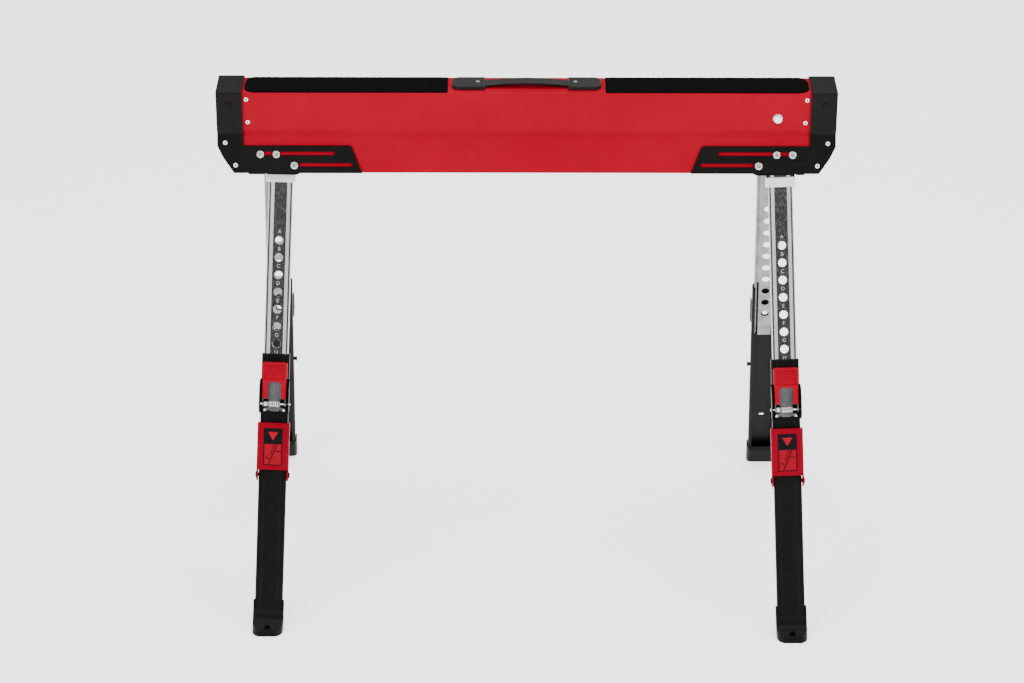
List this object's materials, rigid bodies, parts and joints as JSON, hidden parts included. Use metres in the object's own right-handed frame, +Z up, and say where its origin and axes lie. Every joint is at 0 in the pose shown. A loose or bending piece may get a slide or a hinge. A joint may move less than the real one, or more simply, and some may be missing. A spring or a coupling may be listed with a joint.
{
  "type": "folding sawhorse",
  "caption": "Folding steel sawhorse: long flat-topped beam with grip pads, telescoping fold-in legs with latch levers, and hinged side brackets for timber.",
  "frame": {"origin": "on the floor under the middle of the beam", "axes": "+X along the beam to its right-hand end, +Z up; the front looks to -Y"},
  "size_m": [0.965, 0.6498, 0.8266],
  "materials": {
    "red_paint": "glossy powder coat",
    "black_paint": "satin powder coat",
    "grip_surface": "coarse grit",
    "strap_rubber": "smooth",
    "black_plastic": "moulded",
    "zinc": "zinc plated",
    "bright_steel": "bright nickel or chrome",
    "plain_steel": "plain pressed steel"
  },
  "bodies": {
    "beam": {"beam_channel": "red_paint", "end_cap_left": "black_paint", "end_cap_right": "black_paint", "grip_pad_left": "grip_surface", "grip_pad_right": "grip_surface", "handle_strap": "strap_rubber", "handle_ends": "black_plastic", "panel_rivets": "zinc", "flange_bolts": "zinc", "cap_bolts": "black_paint", "leg_stops": "black_paint"},
    "upper_leg_front_left": {"root_bracket_front_left": "black_paint", "leg_collar_front_left": "zinc", "inner_leg_front_left": "bright_steel"},
    "lower_leg_front_left": {"outer_leg_front_left": "black_paint", "foot_front_left": "black_paint", "latch_bracket_front_left": "black_paint", "leg_pins_front_left": "zinc", "latch_spring_front_left": "zinc"},
    "lever_front_left": {"latch_lever_front_left": "red_paint", "latch_plate_front_left": "plain_steel"},
    "plunger_front_left": {"latch_plunger_front_left": "zinc"},
    "support_front_left": {"support_bracket_front_left": "red_paint"},
    "upper_leg_front_right": {"root_bracket_front_right": "black_paint", "leg_collar_front_right": "zinc", "inner_leg_front_right": "bright_steel"},
    "lower_leg_front_right": {"outer_leg_front_right": "black_paint", "foot_front_right": "black_paint", "latch_bracket_front_right": "black_paint", "leg_pins_front_right": "zinc", "latch_spring_front_right": "zinc"},
    "lever_front_right": {"latch_lever_front_right": "red_paint", "latch_plate_front_right": "plain_steel"},
    "plunger_front_right": {"latch_plunger_front_right": "zinc"},
    "support_front_right": {"support_bracket_front_right": "red_paint"},
    "upper_leg_rear_right": {"root_bracket_rear_right": "black_paint", "leg_collar_rear_right": "zinc", "inner_leg_rear_right": "bright_steel"},
    "lower_leg_rear_right": {"outer_leg_rear_right": "black_paint", "foot_rear_right": "black_paint", "latch_bracket_rear_right": "black_paint", "leg_pins_rear_right": "zinc", "latch_spring_rear_right": "zinc"},
    "lever_rear_right": {"latch_lever_rear_right": "red_paint", "latch_plate_rear_right": "plain_steel"},
    "plunger_rear_right": {"latch_plunger_rear_right": "zinc"},
    "upper_leg_rear_left": {"root_bracket_rear_left": "black_paint", "leg_collar_rear_left": "zinc", "inner_leg_rear_left": "bright_steel"},
    "lower_leg_rear_left": {"outer_leg_rear_left": "black_paint", "foot_rear_left": "black_paint", "latch_bracket_rear_left": "black_paint", "leg_pins_rear_left": "zinc", "latch_spring_rear_left": "zinc"},
    "lever_rear_left": {"latch_lever_rear_left": "red_paint", "latch_plate_rear_left": "plain_steel"},
    "plunger_rear_left": {"latch_plunger_rear_left": "zinc"}
  },
  "joints": [
    {"name": "fold_front_left", "type": "hinge", "parent": "beam", "child": "upper_leg_front_left", "pos_m": [-0.3625, -0.0307, 0.69525], "axis": [0, -0.9348, 0.3551], "range_deg": [0, 70]},
    {"name": "height_front_left", "type": "slide", "parent": "upper_leg_front_left", "child": "lower_leg_front_left", "axis": [0.0349, 0.3549, 0.9343], "range_m": [0, 0.2457]},
    {"name": "release_front_left", "type": "hinge", "parent": "lower_leg_front_left", "child": "lever_front_left", "pos_m": [-0.39779, -0.16566, 0.34293], "axis": [-0.9994, 0.0124, 0.0326], "range_deg": [-25, 0], "stiffness_Nm_per_rad": 0.4, "springref_deg": 17.19},
    {"name": "plunge_front_left", "type": "slide", "parent": "lower_leg_front_left", "child": "plunger_front_left", "axis": [0, -0.9348, 0.3551], "range_m": [0, 0.003]},
    {"name": "swing_front_left", "type": "hinge", "parent": "lower_leg_front_left", "child": "support_front_left", "pos_m": [-0.40181, -0.19432, 0.23088], "axis": [-0.9994, 0.0124, 0.0326], "range_deg": [-110, 0]},
    {"name": "fold_front_right", "type": "hinge", "parent": "beam", "child": "upper_leg_front_right", "pos_m": [0.3625, -0.0307, 0.69525], "axis": [0, 0.9348, -0.3551], "range_deg": [0, 70]},
    {"name": "height_front_right", "type": "slide", "parent": "upper_leg_front_right", "child": "lower_leg_front_right", "axis": [-0.0349, 0.3549, 0.9343], "range_m": [0, 0.2457]},
    {"name": "release_front_right", "type": "hinge", "parent": "lower_leg_front_right", "child": "lever_front_right", "pos_m": [0.41029, -0.18251, 0.34334], "axis": [-0.9994, -0.0124, -0.0326], "range_deg": [-25, 0], "stiffness_Nm_per_rad": 0.4, "springref_deg": 17.19},
    {"name": "plunge_front_right", "type": "slide", "parent": "lower_leg_front_right", "child": "plunger_front_right", "axis": [0, -0.9348, 0.3551], "range_m": [0, 0.003]},
    {"name": "swing_front_right", "type": "hinge", "parent": "lower_leg_front_right", "child": "support_front_right", "pos_m": [0.4143, -0.21116, 0.23128], "axis": [-0.9994, -0.0124, -0.0326], "range_deg": [-110, 0]},
    {"name": "fold_rear_right", "type": "hinge", "parent": "beam", "child": "upper_leg_rear_right", "pos_m": [0.3625, 0.0307, 0.69525], "axis": [0, 0.9348, 0.3551], "range_deg": [0, 70]},
    {"name": "height_rear_right", "type": "slide", "parent": "upper_leg_rear_right", "child": "lower_leg_rear_right", "axis": [-0.0349, -0.3549, 0.9343], "range_m": [0, 0.2457]},
    {"name": "release_rear_right", "type": "hinge", "parent": "lower_leg_rear_right", "child": "lever_rear_right", "pos_m": [0.39779, 0.16566, 0.34293], "axis": [0.9994, -0.0124, 0.0326], "range_deg": [-25, 0], "stiffness_Nm_per_rad": 0.4, "springref_deg": 17.19},
    {"name": "plunge_rear_right", "type": "slide", "parent": "lower_leg_rear_right", "child": "plunger_rear_right", "axis": [0, 0.9348, 0.3551], "range_m": [0, 0.003]},
    {"name": "fold_rear_left", "type": "hinge", "parent": "beam", "child": "upper_leg_rear_left", "pos_m": [-0.3625, 0.0307, 0.69525], "axis": [0, -0.9348, -0.3551], "range_deg": [0, 70]},
    {"name": "height_rear_left", "type": "slide", "parent": "upper_leg_rear_left", "child": "lower_leg_rear_left", "axis": [0.0349, -0.3549, 0.9343], "range_m": [0, 0.2457]},
    {"name": "release_rear_left", "type": "hinge", "parent": "lower_leg_rear_left", "child": "lever_rear_left", "pos_m": [-0.41029, 0.18251, 0.34334], "axis": [0.9994, 0.0124, -0.0326], "range_deg": [-25, 0], "stiffness_Nm_per_rad": 0.4, "springref_deg": 17.19},
    {"name": "plunge_rear_left", "type": "slide", "parent": "lower_leg_rear_left", "child": "plunger_rear_left", "axis": [0, 0.9348, 0.3551], "range_m": [0, 0.003]}
  ],
  "couplings": [
    {"joint": "plunge_front_left", "follows": "release_front_left", "m_per_rad": -0.0065},
    {"joint": "plunge_front_right", "follows": "release_front_right", "m_per_rad": -0.0065},
    {"joint": "plunge_rear_right", "follows": "release_rear_right", "m_per_rad": -0.0065},
    {"joint": "plunge_rear_left", "follows": "release_rear_left", "m_per_rad": -0.0065}
  ]
}
